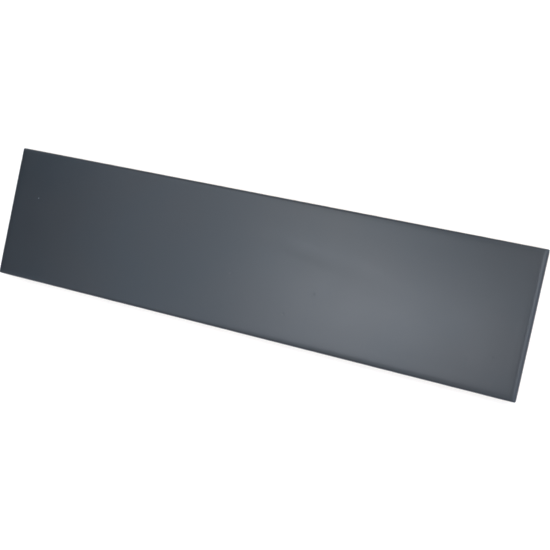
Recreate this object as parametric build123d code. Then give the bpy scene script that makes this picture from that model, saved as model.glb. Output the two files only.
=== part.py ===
from build123d import *
import math
import os

# Glazed ceramic wall tile of the long 4 to 1 format, pressed and fired as one piece.
# It lies on its back: X along its length, Y across it, Z up through the glazed face,
# with the origin in the middle of the bed plane that the back's ribs and rim share.
# Lengths are in millimetres and angles in degrees.

# Overall work size
length = 300.0
width = 75.0
thickness = 8.5

# Cushion edge of the face, the same along all four sides
cushion_radius = 14.0
cushion_angle = 8.0
arris_radius = 1.5
corner_radius = 0.7

# Side, from the upright land that sets the work size down to the foot
land_height = 4.0
heel_inset = 0.45
foot_chamfer = 0.4

# Keying relief on the back: a plain rim round a waffle of ribs and shallow cells
rim_width = 4.0
rib_width = 2.0
cell_pitch = 11.4
cell_depth = 0.8
cell_draft = 30.0


def tile_section(span):
    """Upright section through the tile, span wide, as a face with its foot on the local X axis."""
    slope = math.radians(cushion_angle)
    half = span / 2
    foot_half = half - heel_inset
    # The arris turns from upright to the cushion's slope, and the cushion from there to level.
    land_top = thickness - arris_radius * math.cos(slope) - cushion_radius * (1 - math.cos(slope))
    land_foot = land_top - land_height
    join = (half - arris_radius * (1 - math.sin(slope)), land_top + arris_radius * math.cos(slope))
    flat_half = join[0] - cushion_radius * math.sin(slope)

    side = Polyline(
        (0, 0),
        (foot_half - foot_chamfer, 0),
        (foot_half, foot_chamfer),
        (half, land_foot),
        (half, land_top),
    )
    arris = TangentArc((half, land_top), join, tangent=(0, 1))
    cushion = TangentArc(join, (flat_half, thickness), tangent=(-math.cos(slope), math.sin(slope)))
    crown = Line((flat_half, thickness), (0, thickness))
    half_outline = side + arris + cushion + crown
    return make_face(half_outline + mirror(half_outline, about=Plane.YZ))


def pressed_blank():
    """The tile with a plain back: where the long and the cross section's prisms meet, each edge
    of the face rolls off by itself and the cushions mitre at the corners."""
    along = extrude(Plane.XZ * tile_section(length), amount=width, both=True)
    across = extrude(Plane.YZ * tile_section(width), amount=length, both=True)
    plan = extrude(RectangleRounded(length, width, corner_radius), amount=thickness)
    return along & across & plan


def cells_along(span):
    """How many cells fit between the rims of a side that long, and their pitch."""
    field = span - 2 * (heel_inset + foot_chamfer + rim_width)
    count = max(1, round((field + rib_width) / cell_pitch))
    return count, (field + rib_width) / count


def keying_cells():
    """The shallow drafted cells of the back, sized so that whole ones fill the field in the rim."""
    count_x, pitch_x = cells_along(length)
    count_y, pitch_y = cells_along(width)
    mouth = Rectangle(pitch_x - rib_width, pitch_y - rib_width)
    cell = extrude(mouth, amount=cell_depth, taper=cell_draft)
    return [place * cell for place in GridLocations(pitch_x, pitch_y, count_x, count_y)]


def glazed_tile():
    tile = pressed_blank() - keying_cells()
    tile.label = "glazed_tile"
    return tile


os.makedirs("parts", exist_ok=True)
export_step(glazed_tile(), "parts/glazed_tile.step")
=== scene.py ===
import math

import bpy
from mathutils import Matrix, Vector


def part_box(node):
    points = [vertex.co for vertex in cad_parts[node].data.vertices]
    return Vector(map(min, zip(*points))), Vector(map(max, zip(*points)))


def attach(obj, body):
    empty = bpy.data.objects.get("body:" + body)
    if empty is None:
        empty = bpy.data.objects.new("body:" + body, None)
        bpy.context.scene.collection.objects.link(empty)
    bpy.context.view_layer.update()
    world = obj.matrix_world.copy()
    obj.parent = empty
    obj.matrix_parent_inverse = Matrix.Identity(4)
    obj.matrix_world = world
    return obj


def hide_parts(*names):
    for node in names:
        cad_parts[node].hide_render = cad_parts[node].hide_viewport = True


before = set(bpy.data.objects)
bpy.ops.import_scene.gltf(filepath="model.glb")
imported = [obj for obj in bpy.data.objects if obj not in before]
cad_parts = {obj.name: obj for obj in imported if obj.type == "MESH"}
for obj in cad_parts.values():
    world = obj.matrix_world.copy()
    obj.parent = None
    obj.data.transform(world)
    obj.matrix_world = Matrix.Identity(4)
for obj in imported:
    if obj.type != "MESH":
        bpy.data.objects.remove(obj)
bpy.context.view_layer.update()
mm = 0.001
hair = 0.002                   # millimetres, within which two lengths count as the same

# The tile lies on its back, X along its length, Z up through the glazed face.


def onlySelect(piece):
    bpy.ops.object.select_all(action="DESELECT")
    piece.select_set(True)
    bpy.context.view_layer.objects.active = piece


def startEditing(piece, mode):
    onlySelect(piece)
    bpy.ops.object.mode_set(mode="EDIT")
    bpy.ops.mesh.select_mode(type=mode)
    bpy.ops.mesh.select_all(action="DESELECT")


def stopEditing():
    bpy.ops.object.mode_set(mode="OBJECT")


def selectFaces(piece, wanted):
    # picks faces by their middle and normal, and stays in edit mode
    bpy.ops.mesh.select_mode(type="FACE")
    bpy.ops.mesh.select_all(action="DESELECT")
    stopEditing()
    for face in piece.data.polygons:
        face.select = wanted(face.center, face.normal)
    bpy.ops.object.mode_set(mode="EDIT")


def selectEdges(piece, wanted):
    # picks edges by their two ends, and stays in edit mode
    bpy.ops.mesh.select_mode(type="EDGE")
    bpy.ops.mesh.select_all(action="DESELECT")
    stopEditing()
    points = piece.data.vertices
    for edge in piece.data.edges:
        edge.select = wanted(points[edge.vertices[0]].co, points[edge.vertices[1]].co)
    bpy.ops.object.mode_set(mode="EDIT")


def addGrid(name, length, width, height, columns, rows):
    # a level grid of that many faces, its size in millimetres
    bpy.ops.mesh.primitive_grid_add(
        x_subdivisions=columns, y_subdivisions=rows, size=1, location=(0, 0, height * mm))
    grid = bpy.context.object
    grid.name = name
    grid.scale = (length * mm, width * mm, 1)
    bpy.ops.object.transform_apply(location=True, rotation=True, scale=True)
    return grid


def applyModifier(piece, modifier):
    onlySelect(piece)
    bpy.ops.object.modifier_apply(modifier=modifier.name)


# Sizes, in millimetres and degrees

tileShape = {
    "cushionRadius": 14.0,
    "cushionSlope": 8.0,
    "arrisRadius": 1.5,
    "landHeight": 4.0,
    "heelInset": 0.45,
    "footChamfer": 0.4,
    "glazeThickness": 0.14,    # step at the lower edge of the glaze
    "glazeLine": 3.5,          # mean height of that edge on the side
    "bedRing": 1.6,            # how far the side's last ring runs in on the bed plane
    "cushionRings": 4,
    "arrisRings": 6,
    "lipSection": [            # share of that step, and height over the line: the edge's section
        (0.0, 0.4),
        (0.3, 0.06),
        (1.0, -0.04),
    ],
    "cornerCrease": 0.25,      # keeps the upright corners tight when the mesh is softened
    "creaseFrom": 0.3,         # how far under the face that starts
    "facesPerCell": 7,         # mesh spacing, counted in cells of the back
}

keying = {
    "rimWidth": 4.0,
    "ribWidth": 2.0,
    "cellPitch": 11.4,         # aimed at, before whole cells are fitted between the rims
    "cellDepth": 0.8,
    "cellDraft": 30.0,
    "cornerRound": 1.3,
    "mouthRound": 0.24,
    "floorBorder": 0.6,
}

lowest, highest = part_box("glazed_tile")
tileLength = (highest[0] - lowest[0]) / mm
tileWidth = (highest[1] - lowest[1]) / mm
tileThickness = (highest[2] - lowest[2]) / mm

# the grid of cells starts half a rib outside the rim's inner edge
keyingMargin = tileShape["heelInset"] + tileShape["footChamfer"] + keying["rimWidth"] - keying["ribWidth"] / 2
cellsAlong, cellsAcross = [
    max(1, round((side - 2 * keyingMargin) / keying["cellPitch"])) for side in (tileLength, tileWidth)]


# Glazed face and sides

def sideRings():
    # (inset from the outline, height) from the level face down to the bed plane
    slope = math.radians(tileShape["cushionSlope"])
    cushion = tileShape["cushionRadius"]
    arris = tileShape["arrisRadius"]
    heel = tileShape["heelInset"]
    chamfer = tileShape["footChamfer"]
    lip = tileShape["glazeThickness"]
    line = tileShape["glazeLine"]
    landTop = tileThickness - arris * math.cos(slope) - cushion * (1 - math.cos(slope))
    landFoot = landTop - tileShape["landHeight"]
    flatInset = arris * (1 - math.sin(slope)) + cushion * math.sin(slope)

    rings = []
    for step in range(tileShape["cushionRings"]):
        turn = slope * step / tileShape["cushionRings"]
        rings.append((flatInset - cushion * math.sin(turn), tileThickness - cushion * (1 - math.cos(turn))))
    for step in range(tileShape["arrisRings"] + 1):
        turn = slope + (math.pi / 2 - slope) * step / tileShape["arrisRings"]
        rings.append((arris * (1 - math.sin(turn)), landTop + arris * math.cos(turn)))
    rings.append((0.0, (landTop + line) / 2))
    rings += [(lip * share, line + rise) for share, rise in tileShape["lipSection"]]
    rings += [
        (lip, landFoot),
        ((heel + lip) / 2, (landFoot + chamfer) / 2),
        (heel, chamfer),
        (heel + chamfer, 0.0),
        (tileShape["bedRing"], 0.0),
    ]
    return rings


def makeFaceAndSides():
    rings = sideRings()
    inset, height = rings[0]
    tile = addGrid(
        "fired_tile", tileLength - 2 * inset, tileWidth - 2 * inset, height,
        cellsAlong * tileShape["facesPerCell"], cellsAcross * tileShape["facesPerCell"])
    startEditing(tile, "EDGE")
    bpy.ops.mesh.select_non_manifold()
    for nextInset, nextHeight in rings[1:]:
        bpy.ops.mesh.extrude_edges_move()
        bpy.ops.transform.resize(value=(
            (tileLength - 2 * nextInset) / (tileLength - 2 * inset),
            (tileWidth - 2 * nextInset) / (tileWidth - 2 * inset), 1))
        bpy.ops.transform.translate(value=(0, 0, (nextHeight - height) * mm))
        inset, height = nextInset, nextHeight

    def onCorner(point):
        # as far in from the long side as from the short one, and lower than the cushion
        insetGap = (tileLength / 2 - abs(point.x) / mm) - (tileWidth / 2 - abs(point.y) / mm)
        return abs(insetGap) < hair and point.z < (tileThickness - tileShape["creaseFrom"]) * mm

    selectEdges(tile, lambda a, b: onCorner(a) and onCorner(b))
    bpy.ops.transform.edge_crease(value=tileShape["cornerCrease"])
    stopEditing()
    soften = tile.modifiers.new("softEdges", "SUBSURF")
    soften.levels = 1
    soften.render_levels = 1
    applyModifier(tile, soften)
    print("face and sides:", len(tile.data.polygons), "faces")
    return tile


# Keying relief on the back

def makeBack():
    depth = keying["cellDepth"]
    back = addGrid(
        "keyed_back", tileLength - 2 * keyingMargin, tileWidth - 2 * keyingMargin, 0,
        cellsAlong, cellsAcross)
    startEditing(back, "FACE")
    bpy.ops.mesh.select_all(action="SELECT")
    bpy.ops.mesh.flip_normals()
    bpy.ops.mesh.inset(thickness=keying["ribWidth"] / 2 * mm, use_individual=True)
    draft = depth * math.tan(math.radians(keying["cellDraft"]))
    bpy.ops.mesh.inset(thickness=draft * mm, depth=-depth * mm, use_individual=True)
    selectEdges(back, lambda a, b: abs(a.z - b.z) > 0.5 * depth * mm)
    bpy.ops.mesh.bevel(offset=keying["cornerRound"] * mm, segments=3, affect="EDGES")
    bpy.ops.mesh.select_all(action="DESELECT")
    bpy.ops.mesh.edges_select_sharp(sharpness=math.radians(45))
    bpy.ops.mesh.bevel(offset=keying["mouthRound"] * mm, segments=2, affect="EDGES")
    selectFaces(back, lambda middle, normal: middle.z > 0.99 * depth * mm)
    bpy.ops.mesh.inset(thickness=keying["floorBorder"] * mm, use_individual=True)
    stopEditing()
    print("keying cells:", cellsAlong * cellsAcross, "with", len(back.data.polygons), "faces")
    return back


def joinBackToSides(tile, back):
    onlySelect(tile)
    back.select_set(True)
    bpy.ops.object.join()
    startEditing(tile, "EDGE")
    bpy.ops.mesh.select_non_manifold()
    bpy.ops.mesh.bridge_edge_loops()
    bpy.ops.mesh.select_all(action="SELECT")
    bpy.ops.mesh.normals_make_consistent(inside=False)
    stopEditing()
    print("joined:", len(tile.data.polygons), "faces")


# Slow swell of the glaze, its wavy lower edge, and the strokes in the face

glazeRelief = {                # millimetres, with every place measured from the middle of the face
    "swellDepth": 0.05,
    "swellSize": 42.0,
    "swellFade": 8.0,          # the swell grows over this much of the face, in from its outline
    "edgeFlowDepth": 0.10,
    "edgeFlowSize": 7.0,
    "edgeFlowReach": 5.5,
    "edgeFlowRise": (1.0, 2.5),    # heights over the glaze line where it starts and is full
    "curtainDrop": 2.2,
    "curtainSize": 8.0,
    "curtainReach": 1.2,
    "strokes": [               # from, to, half width, reach, depth, and the share that fades at each end
        ((2.0, 18.4), (46.0, 9.6), 0.9, 4.0, 0.075, 0.40),
        ((20.0, 13.6), (76.0, 6.4), 0.9, 4.5, 0.030, 0.40),
        ((52.0, 9.6), (96.0, -3.0), 1.5, 7.0, 0.028, 0.40),
        ((-10.0, 20.8), (70.0, 7.5), 1.5, 7.5, 0.018, 0.40),
        ((148.95, -36.0), (148.95, 36.4), 0.25, 1.3, 0.030, 0.0),
    ],
    "fadePasses": 6,
}


def insetOf(point):
    # how far in from the tile's outline a point is, in millimetres
    return min(tileLength / 2 - abs(point.x) / mm, tileWidth / 2 - abs(point.y) / mm)


def addGroup(piece, name, weightOf):
    group = piece.vertex_groups.new(name=name)
    for vertex in piece.data.vertices:
        weight = weightOf(vertex.co)
        if weight > 0.001:
            group.add([vertex.index], min(weight, 1.0), "REPLACE")
    return group


def displaceBy(piece, name, group, grain, depth, middle, direction, detail=2):
    # clouds of that grain move the group's points by up to that depth, both in millimetres
    clouds = bpy.data.textures.new(name, "CLOUDS")
    clouds.noise_scale = grain * mm
    clouds.noise_depth = detail
    swell = piece.modifiers.new(name, "DISPLACE")
    swell.texture = clouds
    swell.texture_coords = "LOCAL"
    swell.direction = direction
    swell.strength = depth * mm
    swell.mid_level = middle
    swell.vertex_group = group.name
    applyModifier(piece, swell)


def pressStroke(tile, start, end, halfWidth, reach, depth, fade):
    # a shallow stroke in the face, as a roller or the drying glaze leaves, pressed in passes that
    # each stop a little shorter, so its ends fade
    run = math.dist(start, end)
    alongX, alongY = (end[0] - start[0]) / run, (end[1] - start[1]) / run

    def inStroke(middle, short):
        fromX, fromY = middle.x / mm - start[0], middle.y / mm - start[1]
        along = fromX * alongX + fromY * alongY
        aside = abs(fromX * alongY - fromY * alongX)
        return short < along < run - short and aside < halfWidth

    passes = glazeRelief["fadePasses"] if fade else 1
    for step in range(passes):
        short = run * fade * step / passes
        startEditing(tile, "FACE")
        selectFaces(tile, lambda middle, normal: normal.z > 0.9 and inStroke(middle, short))
        bpy.ops.transform.translate(
            value=(0, 0, -depth / passes * mm), use_proportional_edit=True,
            proportional_edit_falloff="SMOOTH", proportional_size=reach * mm)
        stopEditing()


def shapeGlaze(tile):
    relief = glazeRelief
    line = tileShape["glazeLine"]

    def crownWeight(point):
        return min(1.0, insetOf(point) / relief["swellFade"]) if point.z > 0.9 * tileThickness * mm else 0

    def edgeWeight(point):
        start, full = relief["edgeFlowRise"]
        rise = (point.z / mm - line - start) / (full - start)
        if rise < 0:
            return 0
        return max(0, 1 - insetOf(point) / relief["edgeFlowReach"]) * min(1, rise)

    def lipWeight(point):
        onSide = insetOf(point) < 2 * tileShape["glazeThickness"]
        return max(0, 1 - abs(point.z / mm - line) / relief["curtainReach"]) if onSide else 0

    crown = addGroup(tile, "crown", crownWeight)
    displaceBy(tile, "swell", crown, relief["swellSize"], relief["swellDepth"], 1.0, "Z", detail=0)
    edge = addGroup(tile, "rolledEdge", edgeWeight)
    displaceBy(tile, "edgeFlow", edge, relief["edgeFlowSize"], relief["edgeFlowDepth"], 1.0, "NORMAL")
    lip = addGroup(tile, "glazeLip", lipWeight)
    displaceBy(tile, "curtain", lip, relief["curtainSize"], relief["curtainDrop"], 0.5, "Z")

    for stroke in relief["strokes"]:
        pressStroke(tile, *stroke)
    print("glaze relief shaped, top at", round(max(v.co.z for v in tile.data.vertices) / mm, 3), "mm")


noiseBand = (0.3, 0.7)         # what nearly all of a noise lies between
noiseCore = (0.35, 0.65)       # and most of it

# Satin glaze

glazeFinish = {
    "blueSlate": (0.0146, 0.0173, 0.0195, 1),
    "warmSlate": (0.0167, 0.0175, 0.0186, 1),
    "thinGlaze": (0.038, 0.043, 0.047, 1),     # where it draws thin over the arris
    "thinFrom": (0.35, 0.9),                   # millimetres under the face where that starts and is full
    "thinTo": (3.0, 1.5),                      # and where it has gone again
    "thinPatches": (0.42, 0.62),
    "thinShare": (0.15, 0.75),
    "tone": (0.92, 1.08),
    "roughness": (0.275, 0.291),
    "roughGrain": 60.0,
    "ior": 1.5,
    "hueGrain": 22.0,          # per metre
    "thinGrain": 90.0,
    "toneGrain": 9.0,
    "peelGrain": 420.0,
    "peelDepth": 0.0012,       # millimetres
    "dimples": [               # places on the face in millimetres, radius, and share of the depth
        (-5.7, -7.6, 1.2, 0.8),
        (41.4, -8.2, 1.5, 1.0),
        (27.6, -21.9, 1.1, 0.7),
        (92.0, -7.8, 1.2, 0.4),
        (111.4, -18.8, 1.2, 0.4),
        (123.3, -22.9, 1.3, 0.6),
        (135.7, -18.8, 1.0, 0.6),
        (114.4, 11.4, 1.1, 0.5),
    ],
    "dimpleDepth": 0.06,
    "speck": (-132.4, 10.3, 0.5),
    "speckColour": (0.18, 0.19, 0.20, 1),
}

# Bare biscuit of the back and the foot

biscuitFinish = {
    "clay": (0.60, 0.53, 0.44, 1),
    "paleClay": (0.72, 0.67, 0.59, 1),
    "wash": (0.80, 0.78, 0.74, 1),             # white kiln wash on the ribs
    "grit": (0.40, 0.33, 0.26, 1),
    "cloudGrain": 45.0,        # per metre
    "sandGrain": 2600.0,
    "sandShade": (0.82, 1.0),
    "sandDepth": 0.05,         # millimetres
    "gritGrain": 520.0,
    "gritSize": (0.10, 0.16),
    "gritShare": 0.7,
    "washGrain": 120.0,
    "washPatches": (0.42, 0.58),
    "washShare": (0.2, 0.9),
    "washTo": (0.02, 0.12),    # height in millimetres where the wash ends
    "mistGrain": 1500.0,
    "mistDrops": (0.48, 0.56),
    "mistShare": 0.75,
    "mistFrom": 0.8,
    "roughness": (0.82, 0.95),
    "specular": 0.3,
}


class NodeSheet:
    # the nodes of a material or a world, added left to right with their inputs given by name

    def __init__(self, owner):
        owner.use_nodes = True
        self.tree = owner.node_tree
        self.tree.nodes.clear()
        self.count = 0

    def add(self, kind, settings=None, **inputs):
        node = self.tree.nodes.new(kind)
        node.location = (220 * self.count, 0)
        self.count += 1
        for key, value in (settings or {}).items():
            setattr(node, key, value)
        for key, value in inputs.items():
            socket = node.inputs[int(key[1:])] if key[0] == "i" and key[1:].isdigit() else node.inputs[key]
            if isinstance(value, bpy.types.NodeSocket):
                self.tree.links.new(value, socket)
            else:
                socket.default_value = value
        return node


def placeOf(sheet):
    return sheet.add("ShaderNodeTexCoord").outputs["Object"]


def noise(sheet, place, scale, detail=2.0, roughness=0.5):
    node = sheet.add("ShaderNodeTexNoise", Vector=place, Scale=scale, Detail=detail, Roughness=roughness)
    return node.outputs["Fac"]


def remap(sheet, value, low, high, newLow, newHigh, smooth=False):
    kind = {"interpolation_type": "SMOOTHSTEP"} if smooth else {}
    node = sheet.add("ShaderNodeMapRange", kind, i0=value, i1=low, i2=high, i3=newLow, i4=newHigh)
    return node.outputs[0]


def calculate(sheet, operation, first, second):
    return sheet.add("ShaderNodeMath", {"operation": operation}, i0=first, i1=second).outputs[0]


def mixColours(sheet, amount, first, second, blend="MIX"):
    kind = {"data_type": "RGBA", "blend_type": blend}
    return sheet.add("ShaderNodeMix", kind, i0=amount, i6=first, i7=second).outputs[2]


def bump(sheet, height, depth):
    # depth in millimetres
    return sheet.add("ShaderNodeBump", Strength=1.0, Distance=depth * mm, Height=height).outputs[0]


def spotMask(sheet, place, x, y, radius, top=1.0):
    # top in the middle of a round spot on the face, 0 outside its radius, in millimetres
    centre = (x * mm, y * mm, tileThickness * mm)
    away = sheet.add("ShaderNodeVectorMath", {"operation": "DISTANCE"}, i0=place, i1=centre)
    return remap(sheet, away.outputs["Value"], 0, radius * mm, top, 0, smooth=True)


def makeGlaze():
    finish = glazeFinish
    glaze = bpy.data.materials.new("satinSlateGlaze")
    sheet = NodeSheet(glaze)
    place = placeOf(sheet)
    height = sheet.add("ShaderNodeSeparateXYZ", i0=place).outputs["Z"]

    hue = noise(sheet, place, finish["hueGrain"], 2.5)
    warmth = remap(sheet, hue, *noiseCore, 0, 1)
    colour = mixColours(sheet, warmth, finish["blueSlate"], finish["warmSlate"])
    tone = remap(sheet, noise(sheet, place, finish["toneGrain"], 3.0), *noiseBand, *finish["tone"])
    colour = mixColours(sheet, 1.0, colour, tone, "MULTIPLY")
    onArris = remap(sheet, height, *[(tileThickness - under) * mm for under in finish["thinFrom"]], 0, 1)
    aboveLand = remap(sheet, height, *[(tileThickness - under) * mm for under in finish["thinTo"]], 0, 1)
    patches = noise(sheet, place, finish["thinGrain"], 3.0)
    patches = remap(sheet, patches, *finish["thinPatches"], *finish["thinShare"])
    thin = calculate(sheet, "MULTIPLY", calculate(sheet, "MULTIPLY", onArris, aboveLand), patches)
    colour = mixColours(sheet, thin, colour, finish["thinGlaze"])
    speckX, speckY, speckRadius = finish["speck"]
    speck = spotMask(sheet, place, speckX, speckY, speckRadius)
    colour = mixColours(sheet, speck, colour, finish["speckColour"])

    matt = noise(sheet, place, finish["roughGrain"], 3.0)
    roughness = remap(sheet, matt, *noiseBand, *finish["roughness"])

    surface = bump(sheet, noise(sheet, place, finish["peelGrain"], 2.0), finish["peelDepth"])
    dents = None
    for x, y, radius, share in finish["dimples"]:
        dent = spotMask(sheet, place, x, y, radius, share)
        dents = dent if dents is None else calculate(sheet, "ADD", dents, dent)
    surface = sheet.add(
        "ShaderNodeBump", {"invert": True}, Strength=1.0, Distance=finish["dimpleDepth"] * mm,
        Height=dents, Normal=surface).outputs[0]

    shader = sheet.add(
        "ShaderNodeBsdfPrincipled", **{"Base Color": colour, "Roughness": roughness, "Normal": surface})
    shader.inputs["IOR"].default_value = finish["ior"]
    sheet.add("ShaderNodeOutputMaterial", Surface=shader.outputs[0])
    return glaze


def makeBiscuit():
    finish = biscuitFinish
    biscuit = bpy.data.materials.new("bareBiscuit")
    sheet = NodeSheet(biscuit)
    place = placeOf(sheet)
    height = sheet.add("ShaderNodeSeparateXYZ", i0=place).outputs["Z"]

    cloud = remap(sheet, noise(sheet, place, finish["cloudGrain"], 5.0, 0.6), *noiseCore, 0, 1)
    colour = mixColours(sheet, cloud, finish["clay"], finish["paleClay"])
    sand = noise(sheet, place, finish["sandGrain"], 3.0, 0.7)
    shade = remap(sheet, sand, *noiseBand, *finish["sandShade"])
    colour = mixColours(sheet, 1.0, colour, shade, "MULTIPLY")
    grains = sheet.add("ShaderNodeTexVoronoi", Vector=place, Scale=finish["gritGrain"]).outputs["Distance"]
    grit = remap(sheet, grains, *finish["gritSize"], finish["gritShare"], 0)
    colour = mixColours(sheet, grit, colour, finish["grit"])
    onRibs = remap(sheet, height, *[top * mm for top in finish["washTo"]], 1, 0)
    patches = noise(sheet, place, finish["washGrain"], 6.0, 0.7)
    patchy = remap(sheet, patches, *finish["washPatches"], *finish["washShare"])
    colour = mixColours(sheet, calculate(sheet, "MULTIPLY", onRibs, patchy), colour, finish["wash"])

    # glaze mist that settled on the biscuit just under the glaze's edge
    near = remap(sheet, height, finish["mistFrom"] * mm, tileShape["glazeLine"] * mm, 0, finish["mistShare"])
    drops = remap(sheet, noise(sheet, place, finish["mistGrain"], 4.0, 0.7), *finish["mistDrops"], 0, 1)
    mist = calculate(sheet, "MULTIPLY", near, drops)
    colour = mixColours(sheet, mist, colour, glazeFinish["thinGlaze"])

    roughness = remap(sheet, sand, *noiseBand, *finish["roughness"])
    surface = bump(sheet, sand, finish["sandDepth"])
    shader = sheet.add(
        "ShaderNodeBsdfPrincipled", **{"Base Color": colour, "Roughness": roughness, "Normal": surface})
    shader.inputs["Specular IOR Level"].default_value = finish["specular"]
    sheet.add("ShaderNodeOutputMaterial", Surface=shader.outputs[0])
    return biscuit


def finishTile(tile):
    # glaze above the lip, bare biscuit below it
    tile.data.materials.clear()
    tile.data.materials.append(makeGlaze())
    tile.data.materials.append(makeBiscuit())
    startEditing(tile, "FACE")
    selectFaces(tile, lambda middle, normal: middle.z < (tileShape["glazeLine"] - 0.02) * mm)
    tile.active_material_index = 1
    bpy.ops.object.material_slot_assign()
    stopEditing()


tile = makeFaceAndSides()
back = makeBack()
joinBackToSides(tile, back)
# the finishes go on while the glaze's lower edge is still level
finishTile(tile)
shapeGlaze(tile)
onlySelect(tile)
bpy.ops.object.shade_smooth()
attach(tile, "root")
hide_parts("glazed_tile")


# Floor, light and camera

studio = {                     # metres, watts; each light is aimed at the middle of the tile
    "floorSize": 24.0,
    "floorColour": (0.97, 0.87, 0.765, 1),
    "softboxes": [             # name, place, width, depth, power, colour
        ("keySoftbox", (-0.085, -0.080, 1.0), 0.400, 0.090, 0.98, (0.935, 0.985, 1.075)),
        ("ridgeSoftbox", (-0.225, 0.200, 1.0), 0.080, 0.600, 0.23, (1.150, 1.020, 0.830)),
        ("leftSoftbox", (-0.362, 0.030, 1.0), 0.643, 0.840, 2.58, (0.850, 0.987, 1.153)),
        ("farSoftbox", (0.130, 0.490, 1.0), 1.414, 1.347, 5.10, (0.946, 1.000, 1.055)),
        ("stripSoftbox", (0.430, 0.250, 1.0), 0.070, 0.940, 1.50, (0.920, 0.985, 1.095)),
        ("frontSoftbox", (-0.080, -0.460, 1.0), 1.000, 0.360, 0.88, (1.020, 1.000, 0.965)),
        ("backSoftbox", (-0.370, 0.500, 1.0), 0.550, 0.300, 0.22, (0.960, 1.000, 1.040)),
    ],
    "roomColour": (0.820, 0.970, 1.210, 1),
    "roomSides": [             # axis, where its glow starts and is full, and the level it adds
        ("X", 0.120, 0.450, 1.50),
        ("X", -0.600, -0.800, 0.33),
        ("Y", 0.0, 0.650, 0.56),
        ("Y", 0.0, -0.480, 0.62),
    ],
    "horizonColour": (0.705, 0.742, 0.805, 1),
    "horizonFade": (0.45, 0.12),   # how high the room's glow ends and the horizon is full
}

photoView = {                  # millimetres and degrees, solved from the tile's outline
    "place": (154.4, 13.7, 417.8),
    "aim": (18.8, -3.0, 8.5),
    "roll": 12.0,
    "lens": 53.92,
}


def levelTurn(place, target):
    # looks from place to target, with the picture's right side level
    sight = (target - place).normalized()
    side = sight.cross(Vector((0, 1, 0))).normalized()
    return Matrix((side, side.cross(sight), -sight)).transposed()


def addFloor():
    bpy.ops.mesh.primitive_plane_add(size=studio["floorSize"], location=(0, 0, 0))
    floor = bpy.context.object
    floor.name = "paleFloor"
    pale = bpy.data.materials.new("paleFloor")
    sheet = NodeSheet(pale)
    shader = sheet.add("ShaderNodeBsdfDiffuse", Color=studio["floorColour"])
    sheet.add("ShaderNodeOutputMaterial", Surface=shader.outputs[0])
    floor.data.materials.append(pale)


def addSoftbox(name, place, width, depth, power, colour):
    turn = levelTurn(Vector(place), Vector((0, 0, 0))).to_euler()
    bpy.ops.object.light_add(type="AREA", location=place, rotation=turn)
    lamp = bpy.context.object
    lamp.name = name
    lamp.data.shape = "RECTANGLE"
    lamp.data.size = width
    lamp.data.size_y = depth
    lamp.data.energy = power
    lamp.data.color = colour


def addRoomLight():
    # a soft glow round the tile, strongest on the right, over a pale horizon
    world = bpy.data.worlds.new("studioRoom")
    sheet = NodeSheet(world)
    heading = sheet.add("ShaderNodeTexCoord").outputs["Generated"]
    axes = sheet.add("ShaderNodeSeparateXYZ", i0=heading).outputs
    level = 0
    for axis, start, full, glow in studio["roomSides"]:
        level = calculate(sheet, "ADD", remap(sheet, axes[axis], start, full, 0, glow, smooth=True), level)
    room = sheet.add("ShaderNodeBackground", Color=studio["roomColour"], Strength=level).outputs[0]
    horizon = sheet.add("ShaderNodeBackground", Color=studio["horizonColour"]).outputs[0]
    low = remap(sheet, axes["Z"], *studio["horizonFade"], 0, 1, smooth=True)
    surround = sheet.add("ShaderNodeMixShader", i0=low, i1=room, i2=horizon).outputs[0]
    sheet.add("ShaderNodeOutputWorld", Surface=surround)
    bpy.context.scene.world = world


def addCamera():
    place = Vector(photoView["place"]) * mm
    level = levelTurn(place, Vector(photoView["aim"]) * mm)
    turn = level @ Matrix.Rotation(math.radians(photoView["roll"]), 3, "Z")
    bpy.ops.object.camera_add(location=place, rotation=turn.to_euler())
    camera = bpy.context.object
    camera.name = "photoCamera"
    camera.data.lens = photoView["lens"]
    camera.data.sensor_width = 36
    camera.data.clip_start = 0.01
    bpy.context.scene.camera = camera


bpy.context.scene.view_settings.view_transform = "Standard"
addFloor()
for softbox in studio["softboxes"]:
    addSoftbox(*softbox)
addRoomLight()
addCamera()
print("studio set")
